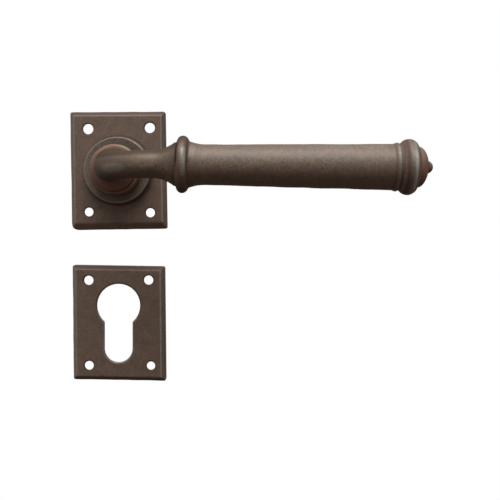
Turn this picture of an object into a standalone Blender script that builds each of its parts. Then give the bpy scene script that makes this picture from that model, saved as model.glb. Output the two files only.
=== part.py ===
"""Door lever handle on a cast rose, with a matching keyhole escutcheon.

The door's face is the XZ plane at Y = 0, and the handle stands out towards -Y.
The origin is where the spindle's axis meets the door's face. The lever points
along +X, +Z is up, and the spindle runs along +Y into the door. Metres.
"""

import math

import bmesh
import bpy
from mathutils import Matrix, Vector

MM = 0.001
GAP = 0.3 * MM
EASE = 0.3 * MM

# Rose plate: centre, size and the bevel round its front face
ROSE_CENTRE = (-0.25 * MM, 0.05 * MM)
ROSE_WIDTH = 41.5 * MM
ROSE_HEIGHT = 50.9 * MM
PLATE_THICK = 5.0 * MM
BEVEL = 1.7 * MM
BEVEL_DEPTH = 1.6 * MM
ROSE_LOWER_BEVEL = 2.8 * MM

# Keyhole escutcheon, and the euro-profile cylinder that it fits round
KEY_CENTRE = (-0.05 * MM, -64.8 * MM)
KEY_WIDTH = 40.0 * MM
KEY_HEIGHT = 49.6 * MM
KEYHOLE_CENTRE = (0.0, -57.0 * MM)
KEYHOLE_RADIUS = 9.2 * MM
KEYHOLE_HALF_SLOT = 5.95 * MM
KEYHOLE_FOOT = -81.5 * MM
KEYHOLE_FILLET = 2.5 * MM

# Wood-screw holes in both plates. They and the keyhole widen towards the door, as cast
HOLE_RADIUS = 2.05 * MM
HOLE_FLARE = 0.15 * MM
DRAFT = 1.2 * MM
ROSE_HOLE_CENTRE = (0.25 * MM, 0.25 * MM)
ROSE_HOLES = (13.0 * MM, 17.8 * MM)
KEY_HOLE_CENTRE = (0.3 * MM, -64.7 * MM)
KEY_HOLES = (12.9 * MM, 18.1 * MM)

# Raised collar on the rose, and the hollow behind it
COLLAR_RADIUS = 14.0 * MM
COLLAR_HEIGHT = 4.4 * MM
COLLAR_DISH = 0.5 * MM
COLLAR_BORE = 9.2 * MM
COLLAR_RIM = ((0.0, 0.6 * MM), (0.2 * MM, 0.15 * MM), (0.7 * MM, 0.0), (1.3 * MM, 0.2 * MM))
HOLLOW_RADIUS = 12.8 * MM
HOLLOW_NOSE_RADIUS = 12.0 * MM
HOLLOW_TAPER = (-4.2 * MM, -4.8 * MM)
HOLLOW_FRONT = -7.0 * MM
RECESS_RADIUS = 17.3 * MM
RECESS_DEPTH = 1.8 * MM

# Lever: bend, grip line and the turned details on it
LEVER_Y = -50.0 * MM
BEND_RADIUS = 21.0 * MM
DROOP = math.radians(0.75)
BEND_STEPS = 10

# The boss: its foot on the collar, its wall and ring, then a flare into the stem
BOSS_RADIUS = 10.5 * MM
BOSS_FOOT = -PLATE_THICK - COLLAR_HEIGHT
RING_TOP = -16.2 * MM
RING_WALL = ((1.0 * MM, 0.1 * MM), (0.3 * MM, 0.4 * MM), (0.0, 0.9 * MM), (-0.3 * MM, 1.5 * MM))
BOSS_FLARE_DROP = 0.9 * MM
BOSS_FLARE_RADIUS = 9.1 * MM
BOSS_FLARE_POWER = 2.2
BOSS_FLARE_STEPS = 7
STEM_RADIUS = 5.3 * MM

# Along the grip line: neck, flare, beads as (x, base radius, bead radius), grip, tip
NECK_RADIUS = 5.1 * MM
FLARE_END = 26.9 * MM
FLARE_RISE = 2.1 * MM
FLARE_POWER = 1.7
FLARE_STEPS = 6
FILLET_BEAD = (28.1 * MM, 7.6 * MM, 0.7 * MM)
FRONT_BEAD = (31.05 * MM, 8.25 * MM, 2.2 * MM)
CAVETTO_SPAN = (33.4 * MM, 39.4 * MM)
CAVETTO_RISE = 1.05 * MM
CAVETTO_STEPS = 6
GRIP_END = 106.8 * MM
GRIP_STEPS = 6
GRIP_START_RADIUS = 7.4 * MM
GRIP_END_RADIUS = 8.43 * MM
SMALL_BEAD = (108.3 * MM, 8.15 * MM, 0.75 * MM)
END_BEAD = (112.95 * MM, 6.75 * MM, 3.45 * MM)
END_BEAD_FOOT = (116.15 * MM, 7.65 * MM)
DOME_X = 116.35 * MM
DOME_LENGTH = 4.0 * MM
DOME_RADIUS = 7.5 * MM
DOME_SWEEP = math.radians(66.0)
BALL_X = 119.9 * MM
BALL_RADIUS = 2.35 * MM
BALL_SWEEP = math.radians(85.0)
TIP_STEPS = 5

# Shank: the lever's journal through the rose
SHANK_RADIUS = 7.5 * MM
SHANK_END = 10.5 * MM
SHANK_FLAT = 6.5 * MM
FLATS_START = 1.4 * MM
GROOVE_RADIUS = 6.7 * MM
GROOVE = (7.8 * MM, 9.4 * MM)
BEARING_BORE = SHANK_RADIUS + GAP

# Square spindle and the grub screw that holds it
SPINDLE_HALF = 4.0 * MM
SPINDLE_SPAN = (-20.0 * MM, 50.0 * MM)
SPINDLE_CHAMFER = 0.6 * MM
GRUB_Y = -13.2 * MM
GRUB_RADIUS = 2.5 * MM
GRUB_SPAN = (-9.6 * MM, -4.3 * MM)
HEX_RADIUS = 1.4 * MM
HEX_DEPTH = 2.5 * MM

# Spring housing in the rose's back
HOUSING_INNER = 11.4 * MM
HOUSING_WALL = 1.0 * MM
HOUSING_FLANGE_RADIUS = 17.0 * MM
HOUSING_FLANGE = (-1.5 * MM, -0.3 * MM)
HOUSING_END = (3.5 * MM, 4.5 * MM)
HOUSING_CORNER = 0.5 * MM
COVER_SCREW_CIRCLE = 14.8 * MM
COVER_SCREW_RADIUS = 0.9 * MM
COVER_SCREW_HEAD = 1.55 * MM
COVER_SCREW_COUNT = 4
COVER_SCREW_TIP = -3.3 * MM
DRIVER_SLOT_HALF = 0.25 * MM
DRIVER_SLOT_DEPTH = 0.4 * MM

# Torsion spring round the shank
WIRE_RADIUS = 0.8 * MM
COIL_RADIUS = 10.2 * MM
COIL_PITCH = 1.75 * MM
COIL_TURNS = 3.25
COIL_FRONT = -4.8 * MM
COIL_START_ANGLE = 0.0
COIL_STEPS_PER_TURN = 20
LEG_TURNS = (22.5, 45.0, 67.5)
LEG_INNER = 6.2 * MM
LEG_BEND = 1.8 * MM

# Stop cam and the pins that its lobe meets
SWING = math.radians(45.0)
CAM_SPAN = (1.9 * MM, 3.2 * MM)
CAM_RADIUS = 9.0 * MM
LOBE_RADIUS = 10.9 * MM
LOBE_HALF_ANGLE = math.radians(12.0)
LOBE_ANGLE = math.radians(90.0)
PIN_RADIUS = 1.1 * MM
PIN_CIRCLE = 10.1 * MM
PIN_SPAN = (1.9 * MM, 4.4 * MM)

# Washers and the ring behind the housing, each as (inner, outer, front, back)
WASHER_INNER = SHANK_RADIUS + GAP
REAR_BUSH_RADIUS = 10.8 * MM
REAR_BUSH_FLANGE = (4.8 * MM, 5.8 * MM)
THRUST_WASHER = (WASHER_INNER, 10.6 * MM, 6.1 * MM, 6.7 * MM)
WAVE_WASHER = (WASHER_INNER, 10.2 * MM, 7.2 * MM, 7.55 * MM)
WAVE_HEIGHT = 0.2 * MM
WAVE_COUNT = 3
RETAINER = (GROOVE_RADIUS + GAP, 9.3 * MM, 8.2 * MM, 9.1 * MM)
RETAINER_MOUTH = math.radians(50.0)
SPRING_SEAT = (WASHER_INNER, 11.6 * MM, -6.7 * MM, -6.0 * MM)

ROUND = 48
COLLAR_STEPS = 36
DRILL_STEPS = 16
SCREW_STEPS = 20
OVERSHOOT = 2.0 * MM
AXIS_EPSILON = 0.01 * MM

SIDES = ((-1, "left"), (1, "right"))
ALONG_Y = Matrix.Rotation(-math.pi / 2, 4, "X")


def clear_scene():
    for old in list(bpy.data.objects):
        bpy.data.objects.remove(old, do_unlink=True)


def new_collection(name):
    collection = bpy.data.collections.new(name)
    bpy.context.scene.collection.children.link(collection)
    return collection


def principled(name, colour, roughness, metallic):
    material = bpy.data.materials.new(name)
    material.use_nodes = True
    shader = material.node_tree.nodes["Principled BSDF"]
    shader.inputs["Base Color"].default_value = (*colour, 1.0)
    shader.inputs["Roughness"].default_value = roughness
    shader.inputs["Metallic"].default_value = metallic
    return material


clear_scene()
PARTS = new_collection("door_lever_handle")
CUTTERS = new_collection("cutters")
MATERIALS = {
    "cast_iron": principled("cast_iron", (0.115, 0.080, 0.060), 0.55, 0.6),
    "steel": principled("steel", (0.50, 0.50, 0.50), 0.35, 1.0),
    "zinc_steel": principled("zinc_steel", (0.62, 0.62, 0.60), 0.40, 1.0),
    "spring_steel": principled("spring_steel", (0.20, 0.20, 0.21), 0.35, 1.0),
    "bronze": principled("bronze", (0.55, 0.36, 0.16), 0.40, 1.0),
    "nylon": principled("nylon", (0.75, 0.74, 0.70), 0.50, 0.0),
}


def smooth(mesh):
    mesh.shade_smooth()
    mesh.set_sharp_from_angle(angle=math.radians(35.0))


def add_object(name, mesh, collection):
    thing = bpy.data.objects.new(name, mesh)
    collection.objects.link(thing)
    return thing


def as_part(thing, material):
    thing.data.materials.append(MATERIALS[material])
    smooth(thing.data)
    return thing


def as_cutter(thing):
    thing.hide_render = True
    thing.display_type = "WIRE"
    return thing


def difference(thing, cutter):
    cut = thing.modifiers.new("cut_" + cutter.name, "BOOLEAN")
    cut.operation = "DIFFERENCE"
    cut.solver = "EXACT"
    cut.object = cutter
    return thing


def join_solid(thing, other):
    joined = thing.modifiers.new("join_" + other.name, "BOOLEAN")
    joined.operation = "UNION"
    joined.solver = "EXACT"
    joined.object = other
    return thing


def turned(name, profile, collection, placing=ALONG_Y, steps=ROUND):
    """Solid of revolution. The profile is (radius, height) from top to bottom outside.

    A profile that ends on the axis is a solid; any other is closed into a ring.
    """
    mesh = bpy.data.meshes.new(name)
    points = [(radius, 0.0, height) for radius, height in profile]
    edges = [(i, i + 1) for i in range(len(points) - 1)]
    if profile[0][0] > 0.0:
        edges.append((len(points) - 1, 0))
    mesh.from_pydata(points, edges, [])
    thing = add_object(name, mesh, collection)
    thing.matrix_world = placing
    screw = thing.modifiers.new("turn", "SCREW")
    screw.axis = "Z"
    screw.steps = steps
    screw.render_steps = steps
    screw.use_merge_vertices = True
    screw.merge_threshold = AXIS_EPSILON
    return thing


def ring_profile(inner, outer, front, back):
    return [(outer, back), (outer, front), (inner, front), (inner, back)]


def rod_profile(radius, front, back):
    return [(0.0, back), (radius, back), (radius, front), (0.0, front)]


def turned_part(name, profile, material):
    """Turned piece on the spindle's axis, baked to a mesh so that it can be shaded smooth."""
    return as_part(baked(turned(name, profile, PARTS)), material)


def baked(thing, weld=0.0):
    """The same object as a plain mesh, its modifiers or its curve worked out."""
    bpy.context.view_layer.update()
    graph = bpy.context.evaluated_depsgraph_get()
    mesh = bpy.data.meshes.new_from_object(thing.evaluated_get(graph))
    name, collection, placing = thing.name, thing.users_collection[0], thing.matrix_world.copy()
    bpy.data.objects.remove(thing, do_unlink=True)
    if weld:
        work = bmesh.new()
        work.from_mesh(mesh)
        bmesh.ops.remove_doubles(work, verts=work.verts, dist=weld)
        bmesh.ops.recalc_face_normals(work, faces=work.faces)
        work.to_mesh(mesh)
        work.free()
    mesh.materials.clear()
    mesh.name = name
    result = add_object(name, mesh, collection)
    result.matrix_world = placing
    return result


def rod(name, radius, start, end, collection, steps=24):
    """Cylinder between two points."""
    start, end = Vector(start), Vector(end)
    along = end - start
    work = bmesh.new()
    bmesh.ops.create_cone(
        work,
        cap_ends=True,
        segments=steps,
        radius1=radius,
        radius2=radius,
        depth=along.length,
    )
    mesh = bpy.data.meshes.new(name)
    work.to_mesh(mesh)
    work.free()
    thing = add_object(name, mesh, collection)
    turn = along.to_track_quat("Z", "Y").to_matrix().to_4x4()
    thing.matrix_world = Matrix.Translation((start + end) / 2) @ turn
    return thing


def block(name, low, high, collection):
    """Box from its lowest to its highest corner."""
    low, high = Vector(low), Vector(high)
    work = bmesh.new()
    bmesh.ops.create_cube(work, size=1.0)
    bmesh.ops.scale(work, vec=high - low, verts=work.verts)
    mesh = bpy.data.meshes.new(name)
    work.to_mesh(mesh)
    work.free()
    thing = add_object(name, mesh, collection)
    thing.location = (low + high) / 2
    return thing


def polar(radius, angle):
    """Point in the door's plane, counter-clockwise from +X as seen from the front."""
    return radius * math.cos(angle), radius * math.sin(angle)


def arc(centre, radius, start, end, count):
    """Points on an arc in a plane, both ends included."""
    points = []
    for i in range(count + 1):
        angle = start + (end - start) * i / count
        points.append((centre[0] + radius * math.cos(angle), centre[1] + radius * math.sin(angle)))
    return points


def bevelled_plate(name, centre, width, height, lower_bevel):
    """Flat plate whose front face is drawn in all round, more at its lower edge."""
    work = bmesh.new()
    bmesh.ops.create_cube(work, size=1.0)
    bmesh.ops.scale(work, vec=(width, PLATE_THICK - BEVEL_DEPTH, height), verts=work.verts)
    bmesh.ops.translate(work, vec=(0.0, (BEVEL_DEPTH - PLATE_THICK) / 2, 0.0), verts=work.verts)
    front = [face for face in work.faces if face.normal.y < -0.5]
    grown = bmesh.ops.extrude_face_region(work, geom=front)
    face_verts = [item for item in grown["geom"] if isinstance(item, bmesh.types.BMVert)]
    for vert in face_verts:
        vert.co.y = -PLATE_THICK
        vert.co.x -= math.copysign(BEVEL, vert.co.x)
        vert.co.z -= BEVEL if vert.co.z > 0.0 else -lower_bevel
    bmesh.ops.delete(work, geom=front, context="FACES_ONLY")
    mesh = bpy.data.meshes.new(name)
    work.to_mesh(mesh)
    work.free()
    thing = add_object(name, mesh, PARTS)
    thing.location = (centre[0], 0.0, centre[1])
    return thing


def drill_plate(plate, centre, reach):
    """Four through holes, tapered by the draft and with a small flare at the front."""
    profile = [
        (0.0, OVERSHOOT),
        (HOLE_RADIUS + DRAFT, OVERSHOOT),
        (HOLE_RADIUS + DRAFT, 0.0),
        (HOLE_RADIUS, HOLE_FLARE - PLATE_THICK),
        (HOLE_RADIUS + HOLE_FLARE + OVERSHOOT, -PLATE_THICK - OVERSHOOT),
        (0.0, -PLATE_THICK - OVERSHOOT),
    ]
    for side, side_name in SIDES:
        for level, level_name in ((-1, "low"), (1, "high")):
            name = f"{plate.name}_drill_{side_name}_{level_name}"
            middle = (centre[0] + side * reach[0], 0.0, centre[1] + level * reach[1])
            place = Matrix.Translation(middle) @ ALONG_Y
            difference(plate, as_cutter(turned(name, profile, CUTTERS, place, DRILL_STEPS)))


def keyhole_outline(margin):
    """Euro-profile outline: a circle over a round-ended slot, with filleted corners."""
    radius, half = KEYHOLE_RADIUS + margin, KEYHOLE_HALF_SLOT + margin
    fillet = KEYHOLE_FILLET - margin
    drop = math.sqrt((radius + fillet) ** 2 - (half + fillet) ** 2)
    join = math.atan2(drop, half + fillet)
    foot = KEYHOLE_FOOT - KEYHOLE_CENTRE[1] + KEYHOLE_HALF_SLOT
    points = arc((0.0, 0.0), radius, -join, math.pi + join, 36)
    points += arc((-half - fillet, -drop), fillet, join, 0.0, 4)
    points += arc((0.0, foot), half, math.pi, 2 * math.pi, 16)
    points += arc((half + fillet, -drop), fillet, math.pi, math.pi - join, 4)[:-1]
    return points


def flat_cutter(name, outline, centre, front, back):
    """Prism along Y from a 2D outline drawn in the door's plane."""
    curve = bpy.data.curves.new(name, "CURVE")
    curve.dimensions = "2D"
    curve.fill_mode = "BOTH"
    curve.extrude = (back - front) / 2
    spline = curve.splines.new("POLY")
    spline.points.add(len(outline) - 1)
    for point, (x, z) in zip(spline.points, outline):
        point.co = (x, z, 0.0, 1.0)
    spline.use_cyclic_u = True
    thing = add_object(name, curve, CUTTERS)
    middle = Matrix.Translation((centre[0], (front + back) / 2, centre[1]))
    thing.matrix_world = middle @ Matrix.Rotation(math.pi / 2, 4, "X")
    return as_cutter(baked(thing, weld=AXIS_EPSILON))


def tapered_cutter(name, levels, centre):
    """Solid through several outlines of equally many points, each at its own Y."""
    verts = [(centre[0] + x, y, centre[1] + z) for y, outline in levels for x, z in outline]
    count = len(levels[0][1])
    faces = [list(range(count)), list(range(len(verts) - count, len(verts)))]
    for start in range(0, len(verts) - count, count):
        for i in range(count):
            after = start + (i + 1) % count
            faces.append((start + i, start + count + i, count + after, after))
    mesh = bpy.data.meshes.new(name)
    mesh.from_pydata(verts, [], faces)
    work = bmesh.new()
    work.from_mesh(mesh)
    bmesh.ops.recalc_face_normals(work, faces=work.faces)
    work.to_mesh(mesh)
    work.free()
    return as_cutter(add_object(name, mesh, CUTTERS))


def make_rose_plate():
    rose = bevelled_plate("rose_plate", ROSE_CENTRE, ROSE_WIDTH, ROSE_HEIGHT, ROSE_LOWER_BEVEL)
    front = -PLATE_THICK - COLLAR_HEIGHT
    blank = [(0.0, -PLATE_THICK + OVERSHOOT), (COLLAR_RADIUS, -PLATE_THICK + OVERSHOOT)]
    blank += [(COLLAR_RADIUS - inset, front + drop) for inset, drop in COLLAR_RIM]
    blank += [(BOSS_RADIUS, front + COLLAR_DISH), (0.0, front + COLLAR_DISH)]
    collar = turned("collar_blank", blank, CUTTERS, ALONG_Y, COLLAR_STEPS)
    join_solid(rose, as_cutter(collar))
    hollow = [
        (0.0, OVERSHOOT),
        (RECESS_RADIUS, OVERSHOOT),
        (RECESS_RADIUS, -RECESS_DEPTH),
        (HOLLOW_RADIUS, -RECESS_DEPTH),
        (HOLLOW_RADIUS, HOLLOW_TAPER[0]),
        (HOLLOW_NOSE_RADIUS, HOLLOW_TAPER[1]),
        (HOLLOW_NOSE_RADIUS, HOLLOW_FRONT),
        (COLLAR_BORE, HOLLOW_FRONT),
        (COLLAR_BORE, front - OVERSHOOT),
        (0.0, front - OVERSHOOT),
    ]
    difference(rose, as_cutter(turned("rose_hollow", hollow, CUTTERS, ALONG_Y, COLLAR_STEPS)))
    drill_plate(rose, ROSE_HOLE_CENTRE, ROSE_HOLES)
    for index in range(COVER_SCREW_COUNT):
        x, z = cover_screw_place(index)
        reach = COVER_SCREW_RADIUS + GAP
        tip = COVER_SCREW_TIP - GAP
        name = f"screw_hole_{index + 1}"
        hole = rod(name, reach, (x, OVERSHOOT, z), (x, tip, z), CUTTERS, DRILL_STEPS)
        difference(rose, as_cutter(hole))
    return as_part(rose, "cast_iron")


def make_key_escutcheon():
    plate = bevelled_plate("key_escutcheon", KEY_CENTRE, KEY_WIDTH, KEY_HEIGHT, BEVEL)
    narrow, wide = keyhole_outline(0.0), keyhole_outline(DRAFT)
    levels = [(-PLATE_THICK - OVERSHOOT, narrow), (-PLATE_THICK, narrow), (0.0, wide), (OVERSHOOT, wide)]
    difference(plate, tapered_cutter("keyhole", levels, KEYHOLE_CENTRE))
    drill_plate(plate, KEY_HOLE_CENTRE, KEY_HOLES)
    return as_part(plate, "cast_iron")


def boss_profile():
    """(y, radius) of the lever's boss, from its foot out to the start of the bend."""
    bend_start = LEVER_Y + BEND_RADIUS
    points = [(BOSS_FOOT, BOSS_RADIUS - EASE), (BOSS_FOOT - EASE, BOSS_RADIUS)]
    points += [(RING_TOP + drop, BOSS_RADIUS - inset) for drop, inset in RING_WALL]
    flare_start = RING_TOP - BOSS_FLARE_DROP
    for i in range(BOSS_FLARE_STEPS):
        along = i / BOSS_FLARE_STEPS
        shrink = (1.0 - along) ** BOSS_FLARE_POWER
        radius = STEM_RADIUS + (BOSS_FLARE_RADIUS - STEM_RADIUS) * shrink
        points.append((flare_start + (bend_start - flare_start) * along, radius))
    return points


def bead(centre, base, radius, half_angle, count):
    """(x, radius) round a bead whose centre line stands at the base radius."""
    return [
        (centre + radius * math.sin(angle), base + radius * math.cos(angle))
        for angle in (half_angle * (2 * i / count - 1) for i in range(count + 1))
    ]


def between(span, start, end, along):
    """(x, radius) part of the way along a straight taper."""
    return span[0] + (span[1] - span[0]) * along, start + (end - start) * along


def grip_profile():
    """(x, radius) of neck, beads, grip, dome and ball tip, from the bend out."""
    points = []
    for i in range(1, FLARE_STEPS + 1):
        along = i / FLARE_STEPS
        x = BEND_RADIUS + (FLARE_END - BEND_RADIUS) * along
        points.append((x, NECK_RADIUS + FLARE_RISE * along**FLARE_POWER))
    points += bead(*FILLET_BEAD, math.radians(75.0), 4)
    points += bead(*FRONT_BEAD, math.radians(88.0), 8)
    for i in range(CAVETTO_STEPS + 1):
        along = i / CAVETTO_STEPS
        x = CAVETTO_SPAN[0] + (CAVETTO_SPAN[1] - CAVETTO_SPAN[0]) * along
        points.append((x, GRIP_START_RADIUS + CAVETTO_RISE * (1.0 - along) ** 2))
    grip_span = (CAVETTO_SPAN[1], GRIP_END)
    for i in range(1, GRIP_STEPS + 1):
        points.append(between(grip_span, GRIP_START_RADIUS, GRIP_END_RADIUS, i / GRIP_STEPS))
    points += bead(*SMALL_BEAD, math.radians(70.0), 6)
    points += bead(*END_BEAD, math.radians(56.0), 8)
    points.append(END_BEAD_FOOT)
    for i in range(TIP_STEPS + 1):
        angle = DOME_SWEEP * i / TIP_STEPS
        points.append((DOME_X + DOME_LENGTH * math.sin(angle), DOME_RADIUS * math.cos(angle)))
    for i in range(TIP_STEPS):
        angle = BALL_SWEEP * (1.0 - i / TIP_STEPS)
        points.append((BALL_X + BALL_RADIUS * math.cos(angle), BALL_RADIUS * math.sin(angle)))
    return points


def lever_stations():
    """Centre points and radii along the whole casting, from the shank's end to the tip."""
    stations = [(Vector((0.0, SHANK_END, 0.0)), SHANK_RADIUS)]
    stations.append((Vector((0.0, BOSS_FOOT + AXIS_EPSILON, 0.0)), SHANK_RADIUS))
    for y, radius in boss_profile():
        stations.append((Vector((0.0, y, 0.0)), radius))
    bend_centre = Vector((BEND_RADIUS, LEVER_Y + BEND_RADIUS, 0.0))
    for i in range(BEND_STEPS):
        along = i / BEND_STEPS
        angle = along * math.pi / 2
        offset = Vector((-math.cos(angle), -math.sin(angle), 0.0)) * BEND_RADIUS
        radius = STEM_RADIUS + (NECK_RADIUS - STEM_RADIUS) * along
        stations.append((bend_centre + offset, radius))
    for x, radius in grip_profile():
        drop = (x - BEND_RADIUS) * math.tan(DROOP)
        stations.append((Vector((x, LEVER_Y, -drop)), radius))
    return stations


def lever_blank():
    """The casting as one tube with a radius at each station."""
    curve = bpy.data.curves.new("lever", "CURVE")
    curve.dimensions = "3D"
    curve.bevel_depth = 1.0
    curve.bevel_resolution = 12
    curve.use_fill_caps = True
    stations = lever_stations()
    spline = curve.splines.new("POLY")
    spline.points.add(len(stations) - 1)
    for point, (place, radius) in zip(spline.points, stations):
        point.co = (*place, 1.0)
        point.radius = radius
    return baked(add_object("lever", curve, PARTS), weld=AXIS_EPSILON / 10)


def make_lever():
    lever = lever_blank()
    socket_end = SPINDLE_SPAN[0] - GAP
    half = SPINDLE_HALF + GAP
    socket = block(
        "spindle_socket", (-half, socket_end, -half), (half, SHANK_END + OVERSHOOT, half), CUTTERS
    )
    difference(lever, as_cutter(socket))
    reach = SHANK_RADIUS + OVERSHOOT
    for side, side_name in SIDES:
        edges = sorted((side * SHANK_FLAT, side * reach))
        low, high = (edges[0], FLATS_START, -reach), (edges[1], SHANK_END + OVERSHOOT, reach)
        difference(lever, as_cutter(block(f"shank_flat_{side_name}", low, high, CUTTERS)))
    groove = ring_profile(GROOVE_RADIUS, SHANK_RADIUS + OVERSHOOT, *GROOVE)
    difference(lever, as_cutter(turned("ring_groove", groove, CUTTERS)))
    hole = rod(
        "grub_hole",
        GRUB_RADIUS + GAP,
        (0.0, GRUB_Y, -BOSS_RADIUS - OVERSHOOT),
        (0.0, GRUB_Y, -half + OVERSHOOT),
        CUTTERS,
    )
    difference(lever, as_cutter(hole))
    leg_half = WIRE_RADIUS + GAP
    notch = block(
        "spring_notch",
        (LEG_INNER - GAP, COIL_FRONT - leg_half, -leg_half),
        (SHANK_RADIUS + OVERSHOOT, COIL_FRONT + leg_half, leg_half),
        CUTTERS,
    )
    difference(lever, as_cutter(notch))
    return as_part(lever, "cast_iron")


def make_spindle():
    low, high = SPINDLE_SPAN
    half = SPINDLE_HALF
    bar = block("spindle", (-half, low, -half), (half, high, half), PARTS)
    corner = bar.modifiers.new("corners", "BEVEL")
    corner.width = SPINDLE_CHAMFER
    corner.segments = 1
    corner.limit_method = "ANGLE"
    return as_part(bar, "steel")


def make_grub_screw():
    bottom, top = GRUB_SPAN
    screw = rod("grub_screw", GRUB_RADIUS, (0.0, GRUB_Y, bottom), (0.0, GRUB_Y, top), PARTS)
    mouth = (0.0, GRUB_Y, bottom - OVERSHOOT)
    floor = (0.0, GRUB_Y, bottom + HEX_DEPTH)
    difference(screw, as_cutter(rod("grub_drive", HEX_RADIUS, mouth, floor, CUTTERS, 6)))
    return as_part(screw, "steel")


def make_bushes():
    front = BOSS_FOOT + GAP + AXIS_EPSILON
    sleeve = ring_profile(BEARING_BORE, COLLAR_BORE - GAP, front, HOLLOW_FRONT)
    turned_part("collar_bush", sleeve, "bronze")
    flange_front, flange_back = REAR_BUSH_FLANGE
    rear = [
        (REAR_BUSH_RADIUS, flange_back),
        (REAR_BUSH_RADIUS, flange_front),
        (COLLAR_BORE - GAP, flange_front),
        (COLLAR_BORE - GAP, HOUSING_END[0]),
        (BEARING_BORE, HOUSING_END[0]),
        (BEARING_BORE, flange_back),
    ]
    turned_part("rear_bush", rear, "bronze")


def cover_screw_place(index):
    return polar(COVER_SCREW_CIRCLE, math.radians(45.0) + index * 2 * math.pi / COVER_SCREW_COUNT)


def cover_screw_axis(index):
    x, z = cover_screw_place(index)
    return Matrix.Translation((x, 0.0, z)) @ ALONG_Y


def pin_angles():
    """Angles of the rest stop and the travel stop, a gap away from the lobe."""
    reach = LOBE_HALF_ANGLE + math.asin(PIN_RADIUS / PIN_CIRCLE) + GAP / PIN_CIRCLE
    return {
        "rest_stop_pin": LOBE_ANGLE + reach,
        "travel_stop_pin": LOBE_ANGLE - SWING - reach,
    }


def make_spring_housing():
    """Pressed cup: flange in the rose's recess, wall and end wall in the door's bore."""
    inner, outer = HOUSING_INNER, HOUSING_INNER + HOUSING_WALL
    flange_front, flange_back = HOUSING_FLANGE
    end_front, end_back = HOUSING_END
    profile = [
        (outer, end_back - HOUSING_CORNER),
        (outer, flange_back),
        (HOUSING_FLANGE_RADIUS, flange_back),
        (HOUSING_FLANGE_RADIUS, flange_front),
        (inner, flange_front),
        (inner, end_front),
        (COLLAR_BORE, end_front),
        (COLLAR_BORE, end_back),
        (outer - HOUSING_CORNER, end_back),
    ]
    housing = baked(turned("spring_housing", profile, PARTS))
    sink_profile = [(0.0, flange_back + OVERSHOOT), (COVER_SCREW_HEAD + GAP, flange_back + OVERSHOOT)]
    sink_profile += countersunk_profile(GAP, flange_front - OVERSHOOT)[1:]
    for index in range(COVER_SCREW_COUNT):
        name = f"housing_sink_{index + 1}"
        sink = turned(name, sink_profile, CUTTERS, cover_screw_axis(index), DRILL_STEPS)
        difference(housing, as_cutter(sink))
    for name, angle in pin_angles().items():
        drill_end_wall(housing, name + "_hole", PIN_RADIUS + GAP, polar(PIN_CIRCLE, angle))
    leg = polar(COIL_RADIUS, spring_end_angle())
    drill_end_wall(housing, "spring_leg_hole", WIRE_RADIUS + GAP, leg)
    return as_part(housing, "zinc_steel")


def drill_end_wall(housing, name, radius, place):
    x, z = place
    front, back = HOUSING_END[0] - EASE, HOUSING_END[1] + OVERSHOOT
    hole = rod(name, radius, (x, front, z), (x, back, z), CUTTERS, DRILL_STEPS)
    difference(housing, as_cutter(hole))


def countersunk_profile(margin, tip):
    """Half section of a countersunk screw whose head is level with the flange's back."""
    back = HOUSING_FLANGE[1]
    neck = back - (COVER_SCREW_HEAD - COVER_SCREW_RADIUS)
    shank = COVER_SCREW_RADIUS + margin
    return [(0.0, back), (COVER_SCREW_HEAD + margin, back), (shank, neck), (shank, tip), (0.0, tip)]


def make_cover_screws():
    profile = countersunk_profile(0.0, COVER_SCREW_TIP)
    back = HOUSING_FLANGE[1]
    for index in range(COVER_SCREW_COUNT):
        name = f"cover_screw_{index + 1}"
        screw = baked(turned(name, profile, PARTS, cover_screw_axis(index), SCREW_STEPS))
        x, z = cover_screw_place(index)
        reach = COVER_SCREW_HEAD * 2
        low = (x - reach, back - DRIVER_SLOT_DEPTH, z - DRIVER_SLOT_HALF)
        high = (x + reach, back + OVERSHOOT, z + DRIVER_SLOT_HALF)
        difference(screw, as_cutter(block(f"driver_slot_{index + 1}", low, high, CUTTERS)))
        as_part(screw, "zinc_steel")


def make_stop_pins():
    for name, angle in pin_angles().items():
        x, z = polar(PIN_CIRCLE, angle)
        pin = rod(name, PIN_RADIUS, (x, PIN_SPAN[0], z), (x, PIN_SPAN[1], z), PARTS)
        as_part(pin, "steel")


def make_stop_cam():
    """Ring with one lobe, on the shank's two flats."""
    front, back = CAM_SPAN
    cam = baked(turned("stop_cam", rod_profile(CAM_RADIUS, front, back), PARTS))
    first, last = LOBE_ANGLE - LOBE_HALF_ANGLE, LOBE_ANGLE + LOBE_HALF_ANGLE
    root = CAM_RADIUS - OVERSHOOT
    lobe = [polar(root, last), polar(root, first)]
    lobe += arc((0.0, 0.0), LOBE_RADIUS, first, last, 6)
    join_solid(cam, flat_cutter("cam_lobe", lobe, (0.0, 0.0), front, back))
    through = rod_profile(SHANK_RADIUS + GAP, front - OVERSHOOT, back + OVERSHOOT)
    bore = baked(turned("cam_bore", through, CUTTERS))
    reach = SHANK_RADIUS + OVERSHOOT
    for side, side_name in SIDES:
        edges = sorted((side * (SHANK_FLAT + GAP), side * reach))
        low, high = (edges[0], front - reach, -reach), (edges[1], back + reach, reach)
        difference(bore, as_cutter(block(f"cam_flat_{side_name}", low, high, CUTTERS)))
    difference(cam, as_cutter(bore))
    return as_part(cam, "steel")


def make_washers():
    turned_part("spring_seat", ring_profile(*SPRING_SEAT), "nylon")
    turned_part("thrust_washer", ring_profile(*THRUST_WASHER), "steel")
    wave = baked(turned("wave_washer", ring_profile(*WAVE_WASHER), PARTS))
    for vert in wave.data.vertices:
        angle = math.atan2(vert.co.y, vert.co.x)
        vert.co.z += WAVE_HEIGHT * math.cos(WAVE_COUNT * angle)
    as_part(wave, "spring_steel")


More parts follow.
